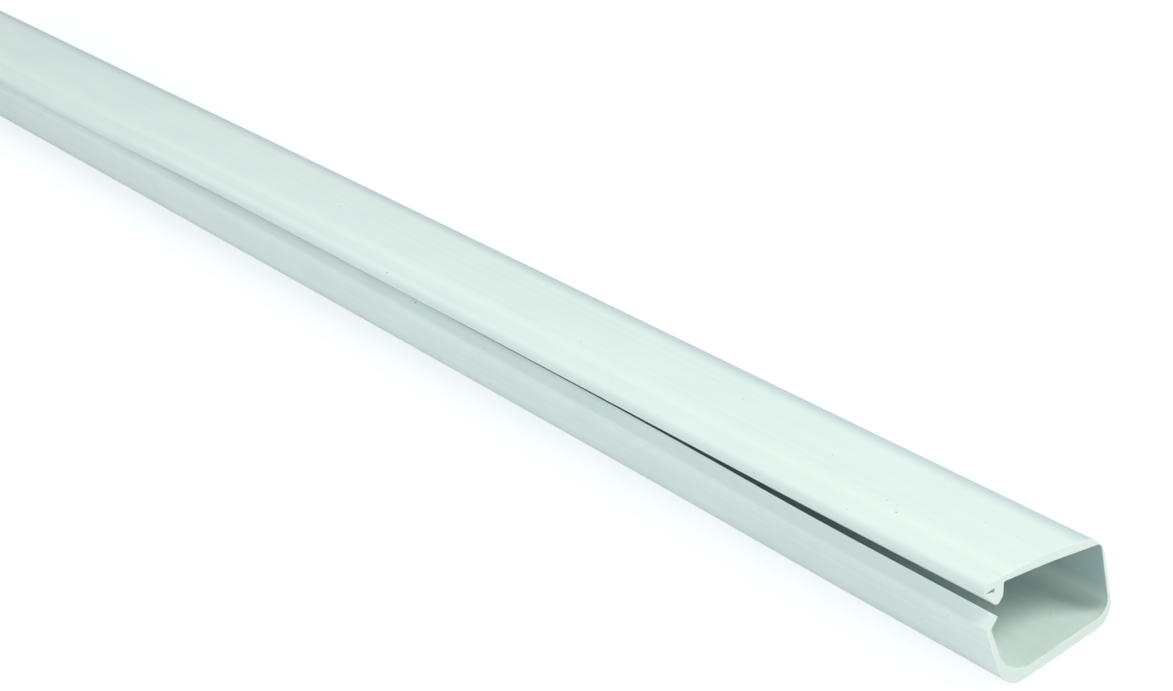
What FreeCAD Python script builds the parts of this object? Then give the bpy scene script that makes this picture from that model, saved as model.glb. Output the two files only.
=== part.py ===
import FreeCAD, Part
import math
import os

# One-piece cord cover raceway: a channel, its cover and the thin wall that hinges
# them are one extruded strip. Here the cover has sprung out of its latch, so the
# section changes slowly along the length. Millimetres. The length runs along X
# with the wide-open end at +X, the latch side faces -Y and +Z is up.

length = 400.0            # one length of the stock

# The section, with y measured from the plane of the latch side and z from the floor
base_width = 21.25        # between the outer bottom corners, before rounding
latch_side_inset = 0.45   # bottom corner of the latch side behind that plane
height_closed = 15.2      # to the top of the crown with the cover flat
crown_rise = 0.75         # rise of the cover's crown over its edges
crown_rise_inner = 0.45   # the cover is thicker in the middle
base_wall = 1.65
latch_wall = 1.0
hinge_wall = 0.5          # thin enough to bend
cover_wall = 1.3          # at its edges
hinge_side_lean = 0.8     # the hinge side leans outward by this much at its top
hinge_inset = 0.3         # the cover turns about a line this far in from the hinge side
hinge_drop = 2.6          # and this far under the crown

# The lip along the top of the latch side
knee_drop = 3.9           # from the crown down to where the latch side turns inward
lip_reach = 2.5
lip_rise = 1.3
lip_tip = 0.3             # thickness left at the tip
lip_slant = 0.2           # the tip is cut square to the lip

# The hook along the free edge of the cover, with the cover flat
hook_inner = 3.6          # inner face of the hook
hook_taper = 0.2          # it leans outward by this much going down
hook_depth = 2.5          # from the cover's underside down to the tip
hook_straight = 0.58      # share of the depth before it rounds to the tip
hook_tip_y = 2.2
hook_tip_width = 0.6
hook_root = 0.6           # the cover is this much thinner where the hook starts
skin_drop = 1.8           # from the cover's edge height down to the hook's outer corner
hook_corner_y = 0.1
groove_shoulder = 0.1     # between that corner and the mouth of the groove
groove_depth = 1.75       # slot that the lip snaps into
groove_mouth = 0.32
groove_height = 0.65      # at its inner end

# Rounds
latch_bottom_round = 4.7
latch_bottom_round_inner = 5.4
hinge_bottom_round = 3.6
hinge_bottom_round_inner = 2.6
knee_round = 0.9
knee_round_inner = 0.3
edge_round = 1.3          # free edge of the cover
hinge_round = 4.2
hinge_round_inner = 0.9
hook_round = 1.0
small_round = 0.25
crown_share = 0.53        # share of the cover's half width that the crown's arc takes

trim = 0.03               # taken off the underside, so that it is one true plane

# Along the strip, by share of the length from the open end: how far the cover's
# edge is lifted above where its hook rests on the lip, and how far the latch side
# leans inward at the knee
rest_gap = 0.08           # kept between hook and lip where the cover rests lowest
stations = [
    (0.0, 2.18, -1.08),
    (0.05, 1.94, -1.11),
    (0.1, 1.77, -1.05),
    (0.15, 1.74, -0.72),
    (0.2, 1.75, -0.38),
    (0.25, 1.74, -0.19),
    (0.325, 1.71, -0.06),
    (0.41, 1.65, 0.06),
    (0.5, 1.59, 0.13),
    (0.59, 1.42, 0.16),
    (0.655, 0.98, 0.18),
    (0.72, 0.4, 0.2),
    (0.79, 0.1, 0.21),
    (0.88, 0.0, 0.21),
    (1.0, 0.0, 0.21),
]

front = latch_side_inset
back = front + base_width
middle = (front + back) / 2
edge_height = height_closed - crown_rise
cover_under = edge_height - cover_wall
knee_height = height_closed - knee_drop
hook_bottom = cover_under - hook_depth
lean_pivot = (front + latch_wall, base_wall)
hinge_pivot = (back - hinge_inset, height_closed - hinge_drop)

# The lip under the hook, and the lift of the cover's edge that just clears it
lip_under_hook = knee_height + lip_rise * (hook_tip_y - front) / lip_reach
hook_leverage = hinge_pivot[0] / (hinge_pivot[0] - hook_tip_y)
rest_lift = (lip_under_hook + rest_gap - hook_bottom) * hook_leverage


def turn(point, pivot, angle):
    """Turn a point of the section about a pivot, clockwise as seen from the open end."""
    dy = point[0] - pivot[0]
    dz = point[1] - pivot[1]
    y = pivot[0] + dy * math.cos(angle) + dz * math.sin(angle)
    z = pivot[1] - dy * math.sin(angle) + dz * math.cos(angle)
    return (y, z)


def meet(a, b, c, d):
    """Crossing of the line through a, b with the line through c, d."""
    ry = b[0] - a[0]
    rz = b[1] - a[1]
    sy = d[0] - c[0]
    sz = d[1] - c[1]
    t = ((c[0] - a[0]) * sz - (c[1] - a[1]) * sy) / (ry * sz - rz * sy)
    return (a[0] + ry * t, a[1] + rz * t)


def crown_arc(rise):
    """Peak that the crown's arc rounds off, higher than the crown itself, and its radius."""
    peak = rise / (1 - crown_share / 2)
    return peak, crown_share * middle ** 2 / peak


def corners(lift, lean):
    """Corners of the section, each with the radius that rounds it."""
    cover_angle = math.asin(lift / hinge_pivot[0])
    side_angle = math.asin(lean / (knee_height - lean_pivot[1]))

    def side(y, z):
        return turn((y, z), lean_pivot, side_angle)

    def cover(y, z):
        return turn((y, z), hinge_pivot, cover_angle)

    peak, crown_radius = crown_arc(crown_rise)
    peak_inner, crown_radius_inner = crown_arc(crown_rise_inner)
    crown = cover(middle, edge_height + peak)
    crown_inner = cover(middle, cover_under + peak_inner)
    wall_foot = (back, 0.0 - trim)
    wall_top = (back + hinge_side_lean, height_closed)
    wall_foot_inner = (back - hinge_wall, base_wall)
    wall_top_inner = (back + hinge_side_lean - hinge_wall, height_closed)
    hinge = meet(wall_foot, wall_top, crown, cover(back, edge_height))
    hinge_inner = meet(wall_foot_inner, wall_top_inner, crown_inner, cover(back, cover_under))

    lip_top = knee_height + lip_rise
    hook_turn = cover_under - hook_depth * hook_straight
    hook_outer = edge_height - skin_drop
    groove_base = hook_outer + groove_shoulder
    return [
        (wall_foot, hinge_bottom_round),
        ((front, 0.0 - trim), latch_bottom_round),
        (side(front, knee_height), knee_round),
        (side(front + lip_reach, lip_top), 0.0),
        (side(front + lip_reach + lip_slant, lip_top - lip_tip), 0.0),
        (side(front + latch_wall, knee_height - small_round), knee_round_inner),
        ((front + latch_wall, base_wall), latch_bottom_round_inner),
        (wall_foot_inner, hinge_bottom_round_inner),
        (hinge_inner, hinge_round_inner),
        (crown_inner, crown_radius_inner),
        (cover(hook_inner, cover_under + hook_root), small_round),
        (cover(hook_inner - hook_taper, hook_turn), hook_round),
        (cover(hook_tip_y + hook_tip_width / 2, hook_bottom), small_round),
        (cover(hook_tip_y - hook_tip_width / 2, hook_bottom + groove_shoulder), small_round),
        (cover(hook_corner_y, hook_outer), 0.0),
        (cover(groove_depth, groove_base), 0.0),
        (cover(groove_depth + groove_shoulder, groove_base + groove_height), 0.0),
        (cover(0.0, groove_base + groove_mouth), 0.0),
        (cover(0.0, edge_height), edge_round),
        (crown, crown_radius),
        (hinge, hinge_round),
    ]


def section(x, lift, lean):
    """Closed wire of the section at x: straight runs joined by tangent arcs."""
    points = corners(lift, lean)
    count = len(points)
    ends = []
    for i in range(count):
        here, radius = points[i]
        before = points[i - 1][0]
        after = points[(i + 1) % count][0]
        corner = FreeCAD.Vector(x, here[0], here[1])
        if radius == 0.0:
            ends.append((corner, corner, None))
            continue
        back_way = FreeCAD.Vector(0, before[0] - here[0], before[1] - here[1]).normalize()
        on_way = FreeCAD.Vector(0, after[0] - here[0], after[1] - here[1]).normalize()
        half = back_way.getAngle(on_way) / 2
        reach = radius / math.tan(half)
        inward = (back_way + on_way).normalize()
        top = corner + inward * (radius / math.sin(half) - radius)
        ends.append((corner + back_way * reach, corner + on_way * reach, top))
    pieces = []
    for i in range(count):
        start, stop, top = ends[i]
        if top is not None:
            pieces.append(Part.Arc(start, top, stop).toShape())
        pieces.append(Part.makeLine(stop, ends[(i + 1) % count][0]))
    return Part.Wire(pieces)


wires = [section(length * (1 - share), rest_lift + lift, lean) for share, lift, lean in stations]
strip = Part.makeLoft(wires, True, False)
below = Part.makeBox(length * 1.2, base_width * 2, 1.0, FreeCAD.Vector(-length * 0.1, -base_width / 2, -1.0))
strip = strip.cut(below)

# Origin under the middle of the finished strip. The cut has left the underside at z = 0.
box = strip.optimalBoundingBox(False, False)
strip.translate(FreeCAD.Vector(-box.Center.x, -box.Center.y, 0.0))

os.makedirs("parts", exist_ok=True)
strip.exportStep("parts/raceway.step")
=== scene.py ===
import math
import random
from collections import namedtuple

import bpy
import numpy as np
from mathutils import Euler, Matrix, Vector
from mathutils.geometry import tessellate_polygon


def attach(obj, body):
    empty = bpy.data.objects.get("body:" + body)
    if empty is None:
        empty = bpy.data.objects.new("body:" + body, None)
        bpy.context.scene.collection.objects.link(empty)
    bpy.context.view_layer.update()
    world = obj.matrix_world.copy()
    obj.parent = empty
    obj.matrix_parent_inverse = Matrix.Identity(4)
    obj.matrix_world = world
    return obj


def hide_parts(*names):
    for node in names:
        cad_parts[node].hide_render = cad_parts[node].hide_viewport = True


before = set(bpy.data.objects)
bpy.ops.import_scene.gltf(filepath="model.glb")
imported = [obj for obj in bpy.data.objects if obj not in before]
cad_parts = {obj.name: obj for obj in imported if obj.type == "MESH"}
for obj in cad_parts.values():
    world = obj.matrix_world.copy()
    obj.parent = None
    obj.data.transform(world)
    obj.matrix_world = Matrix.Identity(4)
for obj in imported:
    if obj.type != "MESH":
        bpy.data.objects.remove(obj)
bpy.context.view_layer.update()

# Looks for the cord cover raceway: one extruded strip of white rigid PVC. Metres, in
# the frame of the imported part: the length along X with the open end at +X, the latch
# side at -Y, and +Z up out of the flat base.

# A corner of the section: what it moves with, its place, the radius that rounds it, the
# steps in that arc, and the points added along the run to the next corner
Corner = namedtuple("Corner", "moves_with y z radius steps added")

# The section of the strip, in millimetres and with the cover flat, as the part has it:
# y from the plane of the latch side, z from the floor. The hinge corners are worked out.
SECTION = [Corner(*facts) for facts in (
    ("base", 21.7, -0.03, 3.6, 10, 15),
    ("base", 0.45, -0.03, 4.7, 14, 0),
    ("side", 0.45, 11.3, 0.9, 8, 2),
    ("side", 2.95, 12.6, 0.0, 0, 0),
    ("side", 3.15, 12.3, 0.0, 0, 2),
    ("side", 1.45, 11.05, 0.3, 4, 4),
    ("base", 1.45, 1.65, 5.4, 12, 12),
    ("base", 21.2, 1.65, 2.6, 8, 7),
    ("hinge inner", 0.0, 0.0, 0.9, 5, 3),
    ("cover", 11.075, 13.7622, 106.2, 12, 1),
    ("cover", 3.6, 13.75, 0.25, 3, 2),
    ("cover", 3.4, 11.7, 1.0, 6, 0),
    ("cover", 2.5, 10.65, 0.25, 3, 0),
    ("cover", 1.9, 10.75, 0.25, 3, 2),
    ("cover", 0.04, 12.6, 0.0, 0, 0),
    ("cover", 0.0, 12.99, 0.0, 0, 0),
    ("cover", 0.5, 12.99, 0.0, 0, 0),
    ("cover", 0.95, 12.75, 0.0, 0, 0),
    ("cover", 1.72, 12.75, 0.0, 0, 0),
    ("cover", 1.84, 13.4, 0.0, 0, 0),
    ("cover", 0.0, 13.03, 0.0, 0, 0),
    ("cover", 0.0, 14.45, 1.3, 12, 2),
    ("cover", 11.075, 15.4704, 63.71, 14, 1),
    ("hinge", 0.0, 0.0, 4.2, 14, 7),
)]
SIDE_PIVOT = (1.45, 1.65)
SIDE_HEIGHT = 9.65        # from that pivot up to the knee
COVER_PIVOT = (21.4, 12.6)
WALL = ((21.7, -0.03), (22.5, 15.2))
WALL_INNER = ((21.2, 1.65), (22.0, 15.2))
COVER_BACK = ((11.075, 15.4704), (21.7, 14.45))
COVER_BACK_INNER = ((11.075, 13.7622), (21.7, 13.15))
SECTION_SHIFT = 10.832    # the part's origin lies this far into the section
REST_LIFT = 1.828         # lift of the cover's edge where its hook lies on the lip

# By share of the length from the open end: further lift of the cover's edge, and how
# far the latch side leans inward at its top
STATIONS = [
    (0.0, 2.18, -1.08), (0.05, 1.94, -1.11), (0.1, 1.77, -1.05), (0.15, 1.74, -0.72),
    (0.2, 1.75, -0.38), (0.25, 1.74, -0.19), (0.325, 1.71, -0.06), (0.41, 1.65, 0.06),
    (0.5, 1.59, 0.13), (0.59, 1.42, 0.16), (0.655, 0.98, 0.18), (0.72, 0.4, 0.2),
    (0.79, 0.1, 0.21), (0.88, 0.0, 0.21), (1.0, 0.0, 0.21),
]
LENGTH = 400.0
SLICES = 160
MM_PER_METRE = 1000
SUPPORT = 0.3             # first point of a run from an arc's end, so that flats stay flat
SUPPORT_SHARE = 0.25      # of the run, which that never passes

# The cut ends, with their edges unevenly broken
CUT_EDGE = 0.06           # along the strip
CUT_INSET = (0.02, 0.09)  # least and most of it across
CUT_SEED = 11

# Fine lines that the die leaves along the latch side: down from the knee, and depth
DIE_LINES = [(2.15, 0.035), (2.8, 0.08)]
DIE_LINE_WIDTH = 0.28
# The shape of one: across it in half widths, and share of its depth
DIE_LINE_SHAPE = ((-1.6, 0.0), (-1.0, 0.0), (0.0, 1.0), (1.0, 0.0), (1.6, 0.0))
BELOW_DIE_LINES = (0.06, 0.2, 0.4)  # other points up the latch side, by share of it

# The view, from the perspective of the photograph
CAMERA_PLACE = (0.45583, -0.19378, 0.24150)
CAMERA_AZIMUTH = 62.30
CAMERA_ELEVATION = 28.67
CAMERA_ROLL = -15.39
LENS = 85.5
SENSOR = 36.0
CLIP_START = 0.01

# Colours, linear
PVC_WHITE = (0.80, 0.915, 0.87, 1.0)
PVC_SHADE = (0.755, 0.87, 0.838, 1.0)
# Painted highlight: a paler line along the cover
PVC_PAINTED_HIGHLIGHT = (0.87, 0.97, 0.87, 1.0)
# Painted shade on the rounded hinge side
PVC_PAINTED_SHADE = (0.56, 0.69, 0.71, 1.0)
SPECK = (0.42, 0.44, 0.42, 1.0)
CUT_WHITE = (0.86, 0.93, 0.89, 1.0)
FLOOR_WHITE = (0.80, 0.82, 0.84, 1.0)
SKY = (0.96, 0.98, 1.0, 1.0)
WHITE = (1.0, 1.0, 1.0, 1.0)

# Where two of them, the painted shade and the painted highlight, lie on the strip, in metres: a
# smooth step from none to full
PAINTED_SHADE_FROM = (0.0064, 0.0094)     # across: the rounded hinge side, darker and bluer as painted shade
PAINTED_SHADE_ABOVE = (0.003, 0.006)      # and up from the floor
PAINTED_HIGHLIGHT_AT = -0.0056              # across: a paler line along the cover, a painted highlight
PAINTED_HIGHLIGHT_REACH = (0.0018, 0.0003)  # away from its middle
PAINTED_HIGHLIGHT_ABOVE = (0.0125, 0.0135)
PAINTED_HIGHLIGHT_SHARE = 0.4

# Noise scales, along the strip and across it, and the parts of the noise that show
MARKS = (6.0, 1500.0)            # extrusion marks, in the gloss and the relief
MOTTLE = (60.0, 120.0)
LINES = (5.0, 1100.0)
TINT_RANGE = (0.28, 0.72)        # of mottle and lines together
DUST = (1500.0, 1500.0)
DUST_RANGE = (0.885, 0.92)
SAW_MARKS = (4000.0, 2500.0)

# Surfaces
PVC_IOR = 1.53
PVC_ROUGHNESS = (0.34, 0.48)
PVC_BUMP = (0.25, 0.00003)       # strength, and depth in metres
CUT_ROUGHNESS = 0.62
CUT_BUMP = (0.4, 0.00004)
FLOOR_ROUGHNESS = 0.9

# Camera rays alone see the floor lighter: near the part and far off, by distance
FLOOR_SIZE = 30.0
FLOOR_RANGE = (0.0, 0.9)
FLOOR_LIFT = (0.42, 0.93)
SKY_LEVEL = 0.20

# Square soft boxes: name, place, aim, size, power and colour
LAMPS = [
    ("key", (0.62, 0.30, 0.50), (0.20, 0.0, 0.0), 0.30, 3.60, (0.98, 1.0, 0.93)),
    ("front", (0.08, -0.50, 0.45), (0.08, 0.0, 0.0), 0.40, 1.58, (0.92, 0.96, 1.0)),
    ("fill", (0.03, -0.70, 0.14), (0.03, 0.0, 0.0), 0.50, 1.08, (1.0, 0.94, 0.94)),
    ("top", (-0.08, 0.12, 0.50), (-0.06, 0.0, 0.0), 0.30, 0.56, (0.90, 0.96, 1.0)),
]

# Slots of the strip's mesh
PVC_SLOT = 0
CUT_SLOT = 1


def node(tree, kind, **values):
    """A new shader node with the given settings and socket values."""
    made = tree.nodes.new(kind)
    for name, value in values.items():
        if hasattr(made, name):
            setattr(made, name, value)
        else:
            made.inputs[name.replace("_", " ")].default_value = value
    return made


def feed(tree, socket, value):
    """Link another node's output to a socket, or give it a fixed value."""
    if isinstance(value, bpy.types.NodeSocket):
        tree.links.new(value, socket)
    else:
        socket.default_value = value


def maths(tree, operation, *values):
    """Result of a Math node."""
    made = node(tree, "ShaderNodeMath", operation=operation)
    for socket, value in zip(made.inputs, values):
        feed(tree, socket, value)
    return made.outputs[0]


def mixed(tree, first, second, share, kind="RGBA"):
    """Mix of two colours, or of two numbers."""
    made = node(tree, "ShaderNodeMix", data_type=kind)
    for name, value in (("A", first), ("B", second), ("Factor", share)):
        feed(tree, made.inputs[name], value)
    return made.outputs["Result"]


def ranged(tree, value, start, end=(0.0, 1.0), curve="SMOOTHSTEP"):
    """A value taken from one range to another, and held at its ends."""
    made = node(tree, "ShaderNodeMapRange", interpolation_type=curve)
    for name, limit in zip(("From Min", "From Max", "To Min", "To Max"), start + end):
        made.inputs[name].default_value = limit
    tree.links.new(value, made.inputs["Value"])
    return made.outputs["Result"]


def stretched_noise(tree, scale, detail=2.0):
    """Noise in object space, drawn out along the strip as extrusion marks are."""
    along, across = scale
    where = node(tree, "ShaderNodeTexCoord")
    stretch = node(tree, "ShaderNodeMapping")
    stretch.inputs["Scale"].default_value = (along, across, across)
    noise = node(tree, "ShaderNodeTexNoise", Scale=1.0, Detail=detail)
    tree.links.new(where.outputs["Object"], stretch.inputs["Vector"])
    tree.links.new(stretch.outputs["Vector"], noise.inputs["Vector"])
    return noise.outputs["Fac"]


def relief(tree, shader, height, strength, depth):
    """Fine relief of a surface."""
    bump = node(tree, "ShaderNodeBump", Strength=strength, Distance=depth)
    tree.links.new(height, bump.inputs["Height"])
    tree.links.new(bump.outputs["Normal"], shader.inputs["Normal"])


def new_material(name):
    material = bpy.data.materials.new(name)
    material.use_nodes = True
    tree = material.node_tree
    return material, tree, tree.nodes["Principled BSDF"]


def pvc_colour(tree):
    """White with faint lengthwise lines, a painted highlight along the cover, painted shade on the
    hinge side, and specks.
    """
    both = mixed(tree, stretched_noise(tree, MOTTLE, 3.0), stretched_noise(tree, LINES, 1.0),
                 0.5, kind="FLOAT")
    colour = mixed(tree, PVC_WHITE, PVC_SHADE, ranged(tree, both, TINT_RANGE))

    where = node(tree, "ShaderNodeTexCoord")
    place = node(tree, "ShaderNodeSeparateXYZ")
    tree.links.new(where.outputs["Object"], place.inputs[0])
    y, z = place.outputs["Y"], place.outputs["Z"]
    # Painted highlight: a paler line along the top of the cover
    away = maths(tree, "ABSOLUTE", maths(tree, "SUBTRACT", y, PAINTED_HIGHLIGHT_AT))
    painted_highlight = maths(tree, "MULTIPLY", ranged(tree, away, PAINTED_HIGHLIGHT_REACH),
                   ranged(tree, z, PAINTED_HIGHLIGHT_ABOVE))
    colour = mixed(tree, colour, PVC_PAINTED_HIGHLIGHT, maths(tree, "MULTIPLY", painted_highlight, PAINTED_HIGHLIGHT_SHARE))
    # Painted shade: the rounded hinge side darker and bluer
    painted_shade = maths(tree, "MULTIPLY", ranged(tree, y, PAINTED_SHADE_FROM), ranged(tree, z, PAINTED_SHADE_ABOVE))
    colour = mixed(tree, colour, PVC_PAINTED_SHADE, painted_shade)

    dust = ranged(tree, stretched_noise(tree, DUST, 0.0), DUST_RANGE, curve="LINEAR")
    return mixed(tree, colour, SPECK, dust)


def pvc():
    """Satin extruded PVC."""
    material, tree, shader = new_material("raceway_pvc")
    marks = stretched_noise(tree, MARKS)
    gloss = ranged(tree, marks, (0.0, 1.0), PVC_ROUGHNESS, curve="LINEAR")
    tree.links.new(pvc_colour(tree), shader.inputs["Base Color"])
    tree.links.new(gloss, shader.inputs["Roughness"])
    relief(tree, shader, marks, *PVC_BUMP)
    shader.inputs["IOR"].default_value = PVC_IOR
    return material


def cut_pvc():
    """The sawn ends: the same plastic, a little paler and rougher."""
    material, tree, shader = new_material("raceway_cut")
    marks = stretched_noise(tree, SAW_MARKS)
    tree.links.new(mixed(tree, CUT_WHITE, PVC_WHITE, marks), shader.inputs["Base Color"])
    relief(tree, shader, marks, *CUT_BUMP)
    shader.inputs["Roughness"].default_value = CUT_ROUGHNESS
    shader.inputs["IOR"].default_value = PVC_IOR
    return material


def turned(point, pivot, angle):
    """A point of the section turned about a pivot, clockwise from the open end."""
    dy, dz = point[0] - pivot[0], point[1] - pivot[1]
    return (pivot[0] + dy * math.cos(angle) + dz * math.sin(angle),
            pivot[1] - dy * math.sin(angle) + dz * math.cos(angle))


def crossing(first, second):
    """Where the lines through two pairs of points cross."""
    (ay, az), (by, bz) = first
    (cy, cz), (dy, dz) = second
    skew = (by - ay) * (dz - cz) - (bz - az) * (dy - cy)
    t = ((cy - ay) * (dz - cz) - (cz - az) * (dy - cy)) / skew
    return (ay + (by - ay) * t, az + (bz - az) * t)


def through(places, values, wanted):
    """Smooth curve through the given values: a natural cubic spline."""
    x, y = np.array(places), np.array(values)
    step, rise = np.diff(x), np.diff(y)
    count = len(x)
    matrix, right = np.eye(count), np.zeros(count)
    for i in range(1, count - 1):
        matrix[i, i - 1:i + 2] = step[i - 1], 2 * (step[i - 1] + step[i]), step[i]
        right[i] = 6 * (rise[i] / step[i] - rise[i - 1] / step[i - 1])
    bend = np.linalg.solve(matrix, right)
    i = np.clip(np.searchsorted(x, wanted) - 1, 0, count - 2)
    t, u, h = wanted - x[i], x[i + 1] - wanted, step[i]
    return ((bend[i] * u ** 3 + bend[i + 1] * t ** 3) / (6 * h)
            + (y[i] / h - bend[i] * h / 6) * u
            + (y[i + 1] / h - bend[i + 1] * h / 6) * t)


def corner_places(lift, lean):
    """The section's corners, with the cover lifted and the latch side leaning."""
    side_angle = math.asin(lean / SIDE_HEIGHT)
    cover_angle = math.asin(lift / COVER_PIVOT[0])

    def cover(point):
        return turned(point, COVER_PIVOT, cover_angle)

    places = []
    for corner in SECTION:
        place = (corner.y, corner.z)
        if corner.moves_with == "side":
            place = turned(place, SIDE_PIVOT, side_angle)
        elif corner.moves_with == "cover":
            place = cover(place)
        elif corner.moves_with == "hinge":
            place = crossing(WALL, [cover(c) for c in COVER_BACK])
        elif corner.moves_with == "hinge inner":
            place = crossing(WALL_INNER, [cover(c) for c in COVER_BACK_INNER])
        places.append(Vector(place))
    return places


def rounded(before, here, after, radius, steps):
    """The arc that rounds a corner, or the corner itself."""
    if radius == 0.0:
        return [here]
    back_way = (before - here).normalized()
    on_way = (after - here).normalized()
    half = back_way.angle(on_way) / 2
    centre = here + (back_way + on_way).normalized() * (radius / math.sin(half))
    start = here + back_way * (radius / math.tan(half)) - centre
    sweep = math.pi - 2 * half
    if start.x * back_way.y - start.y * back_way.x > 0:
        sweep = -sweep
    arc = []
    for k in range(steps + 1):
        c, s = math.cos(sweep * k / steps), math.sin(sweep * k / steps)
        arc.append(centre + Vector((start.x * c - start.y * s, start.x * s + start.y * c)))
    return arc


def even_run(run_start, run_end, count):
    """Points spread along a straight run."""
    run = run_end - run_start
    way = run.normalized()
    near = min(SUPPORT, SUPPORT_SHARE * run.length)
    inner = run.length - 2 * near
    return [run_start + way * (near + inner * k / (count - 1 or 1)) for k in range(count)]


def latch_side_run(run_start, run_end):
    """Points up the latch side, with the die lines sunk into it."""
    run = run_end - run_start
    way = run.normalized()
    inward = Vector((-way.y, way.x))
    if inward.x < 0:
        inward = -inward
    added = [run_start + way * (run.length * share) for share in BELOW_DIE_LINES]
    for down, depth in reversed(DIE_LINES):
        middle = run_end - way * down
        for across, share in DIE_LINE_SHAPE:
            aside = way * (across * DIE_LINE_WIDTH / 2)
            added.append(middle + aside + inward * (depth * share))
    return added + [run_end - way * (SUPPORT * 2), run_end - way * (SUPPORT / 2)]


def outline(lift, lean):
    """Points round the section, and which of them are sharp corners."""
    places = corner_places(lift, lean)
    count = len(places)
    arcs = [rounded(places[i - 1], places[i], places[(i + 1) % count], corner.radius, corner.steps)
            for i, corner in enumerate(SECTION)]
    points, sharp = [], []
    for i, corner in enumerate(SECTION):
        following = (i + 1) % count
        ends = arcs[i][-1], arcs[following][0]
        if corner.moves_with == "base" and SECTION[following].moves_with == "side":
            added = latch_side_run(*ends)
        else:
            added = even_run(*ends, corner.added)
        points += arcs[i] + added
        sharp += [corner.radius == 0.0] * len(arcs[i]) + [False] * len(added)
    return points, sharp


def strip_points():
    """Points of the strip, one ring of them after another from the open end, and which
    points of a ring are sharp corners."""
    chance = random.Random(CUT_SEED)
    x_full = np.linspace(LENGTH / 2 - CUT_EDGE, -LENGTH / 2 + CUT_EDGE, SLICES + 1)
    x_rings = np.concatenate([[LENGTH / 2], x_full, [-LENGTH / 2]])
    shares = 0.5 - x_rings / LENGTH
    places, further_lifts, top_leans = zip(*STATIONS)
    lifts = through(places, further_lifts, shares) + REST_LIFT
    leans = through(places, top_leans, shares)
    verts = []
    for x, lift, lean in zip(x_rings, lifts, leans):
        points, sharp = outline(float(lift), float(lean))
        count = len(points)
        for i, point in enumerate(points):
            if abs(x) == LENGTH / 2:
                way = (points[(i + 1) % count] - points[i - 1]).normalized()
                point = point + Vector((way.y, -way.x)) * chance.uniform(*CUT_INSET)
            y, z = point.x - SECTION_SHIFT, max(point.y, 0.0)
            verts.append((x / MM_PER_METRE, y / MM_PER_METRE, z / MM_PER_METRE))
    return verts, sharp


def strip_faces(verts, count):
    """Faces between the rings and over the cut ends, and the material slot of each."""
    last = len(verts) // count - 1
    faces, slots = [], []
    for k in range(last):
        for i in range(count):
            j = (i + 1) % count
            faces.append((k * count + i, k * count + j, (k + 1) * count + j, (k + 1) * count + i))
            slots.append(CUT_SLOT if k in (0, last - 1) else PVC_SLOT)
    for k, order in ((0, -1), (last, 1)):
        ring = [Vector(verts[k * count + i]) for i in range(count)]
        for triangle in tessellate_polygon([ring]):
            faces.append(tuple(k * count + i for i in triangle[::order]))
            slots.append(CUT_SLOT)
    return faces, slots


def detailed_strip():
    """The strip with its die lines, and its cut ends with their edges slightly broken."""
    verts, sharp = strip_points()
    count = len(sharp)
    last = len(verts) // count - 1
    faces, slots = strip_faces(verts, count)
    mesh = bpy.data.meshes.new("raceway_strip")
    mesh.from_pydata(verts, [], faces)
    mesh.materials.append(pvc())
    mesh.materials.append(cut_pvc())
    mesh.polygons.foreach_set("material_index", slots)
    mesh.polygons.foreach_set("use_smooth", [True] * len(faces))
    for edge in mesh.edges:
        (ring, i), (other_ring, _) = (divmod(vertex, count) for vertex in edge.vertices)
        round_the_section = ring == other_ring
        edge.use_edge_sharp = ring in (0, 1, last - 1, last) if round_the_section else sharp[i]
    mesh.update()
    piece = bpy.data.objects.new("raceway_strip", mesh)
    bpy.context.collection.objects.link(piece)
    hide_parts("raceway")
    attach(piece, "root")


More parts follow.
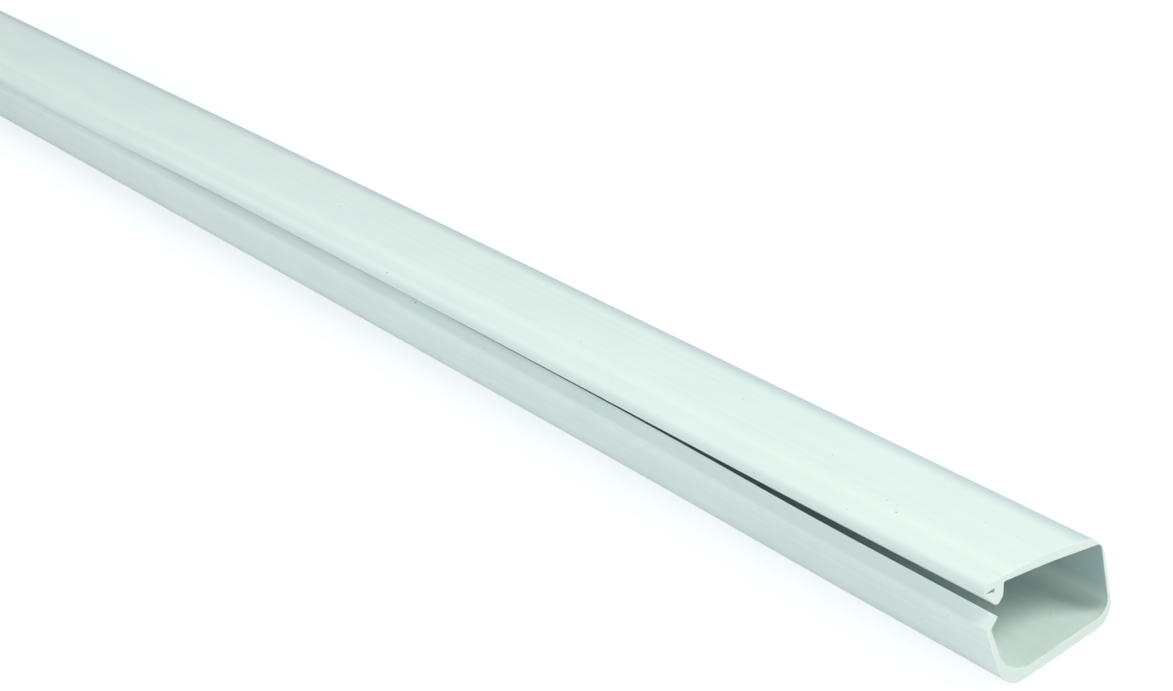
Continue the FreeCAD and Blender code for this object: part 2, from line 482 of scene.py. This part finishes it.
def white_floor():
    """Pale floor that keeps the shadow."""
    bpy.ops.mesh.primitive_plane_add(size=FLOOR_SIZE)
    floor = bpy.context.object
    floor.name = "floor"
    material, tree, shader = new_material("floor_white")
    shader.inputs["Base Color"].default_value = FLOOR_WHITE
    shader.inputs["Roughness"].default_value = FLOOR_ROUGHNESS
    shader.inputs["Specular IOR Level"].default_value = 0.0
    link = tree.links.new
    rays = node(tree, "ShaderNodeLightPath")
    where = node(tree, "ShaderNodeTexCoord")
    away = node(tree, "ShaderNodeVectorMath", operation="LENGTH")
    lift = node(tree, "ShaderNodeEmission")
    none = node(tree, "ShaderNodeEmission", Strength=0.0)
    choose = node(tree, "ShaderNodeMixShader")
    both = node(tree, "ShaderNodeAddShader")
    link(where.outputs["Object"], away.inputs[0])
    link(ranged(tree, away.outputs["Value"], FLOOR_RANGE, FLOOR_LIFT), lift.inputs["Strength"])
    link(rays.outputs["Is Camera Ray"], choose.inputs[0])
    link(none.outputs[0], choose.inputs[1])
    link(lift.outputs[0], choose.inputs[2])
    link(shader.outputs[0], both.inputs[0])
    link(choose.outputs[0], both.inputs[1])
    link(both.outputs[0], tree.nodes["Material Output"].inputs["Surface"])
    floor.data.materials.append(material)


def white_world():
    """Plain pale light from all round, behind which the background shows white."""
    world = bpy.data.worlds.new("studio")
    world.use_nodes = True
    bpy.context.scene.world = world
    tree = world.node_tree
    sky = tree.nodes["Background"]
    sky.inputs["Color"].default_value = SKY
    sky.inputs["Strength"].default_value = SKY_LEVEL
    white = node(tree, "ShaderNodeBackground", Strength=1.0)
    white.inputs["Color"].default_value = WHITE
    rays = node(tree, "ShaderNodeLightPath").outputs
    seen = maths(tree, "MAXIMUM", rays["Is Camera Ray"], rays["Is Glossy Ray"])
    seen = maths(tree, "MAXIMUM", seen, rays["Is Transmission Ray"])
    choose = node(tree, "ShaderNodeMixShader")
    tree.links.new(seen, choose.inputs[0])
    tree.links.new(sky.outputs[0], choose.inputs[1])
    tree.links.new(white.outputs[0], choose.inputs[2])
    tree.links.new(choose.outputs[0], tree.nodes["World Output"].inputs["Surface"])


def lamp(name, place, aim, size, power, colour):
    """A square soft box at a place, turned to its aim."""
    light = bpy.data.lights.new(name, "AREA")
    light.size = size
    light.energy = power
    light.color = colour
    holder = bpy.data.objects.new(name, light)
    bpy.context.collection.objects.link(holder)
    holder.location = place
    holder.rotation_mode = "QUATERNION"
    holder.rotation_quaternion = (Vector(aim) - Vector(place)).to_track_quat("-Z", "Y")


def camera():
    data = bpy.data.cameras.new("camera")
    data.lens = LENS
    data.sensor_width = SENSOR
    data.clip_start = CLIP_START
    holder = bpy.data.objects.new("camera", data)
    bpy.context.collection.objects.link(holder)
    holder.location = CAMERA_PLACE
    tilt, heading = math.radians(90.0 - CAMERA_ELEVATION), math.radians(CAMERA_AZIMUTH)
    roll = Euler((0.0, 0.0, math.radians(CAMERA_ROLL))).to_matrix()
    holder.rotation_euler = (Euler((tilt, 0.0, heading)).to_matrix() @ roll).to_euler()
    bpy.context.scene.camera = holder


camera()
white_floor()
white_world()
for facts in LAMPS:
    lamp(*facts)
detailed_strip()

bpy.context.scene.view_settings.view_transform = "Standard"
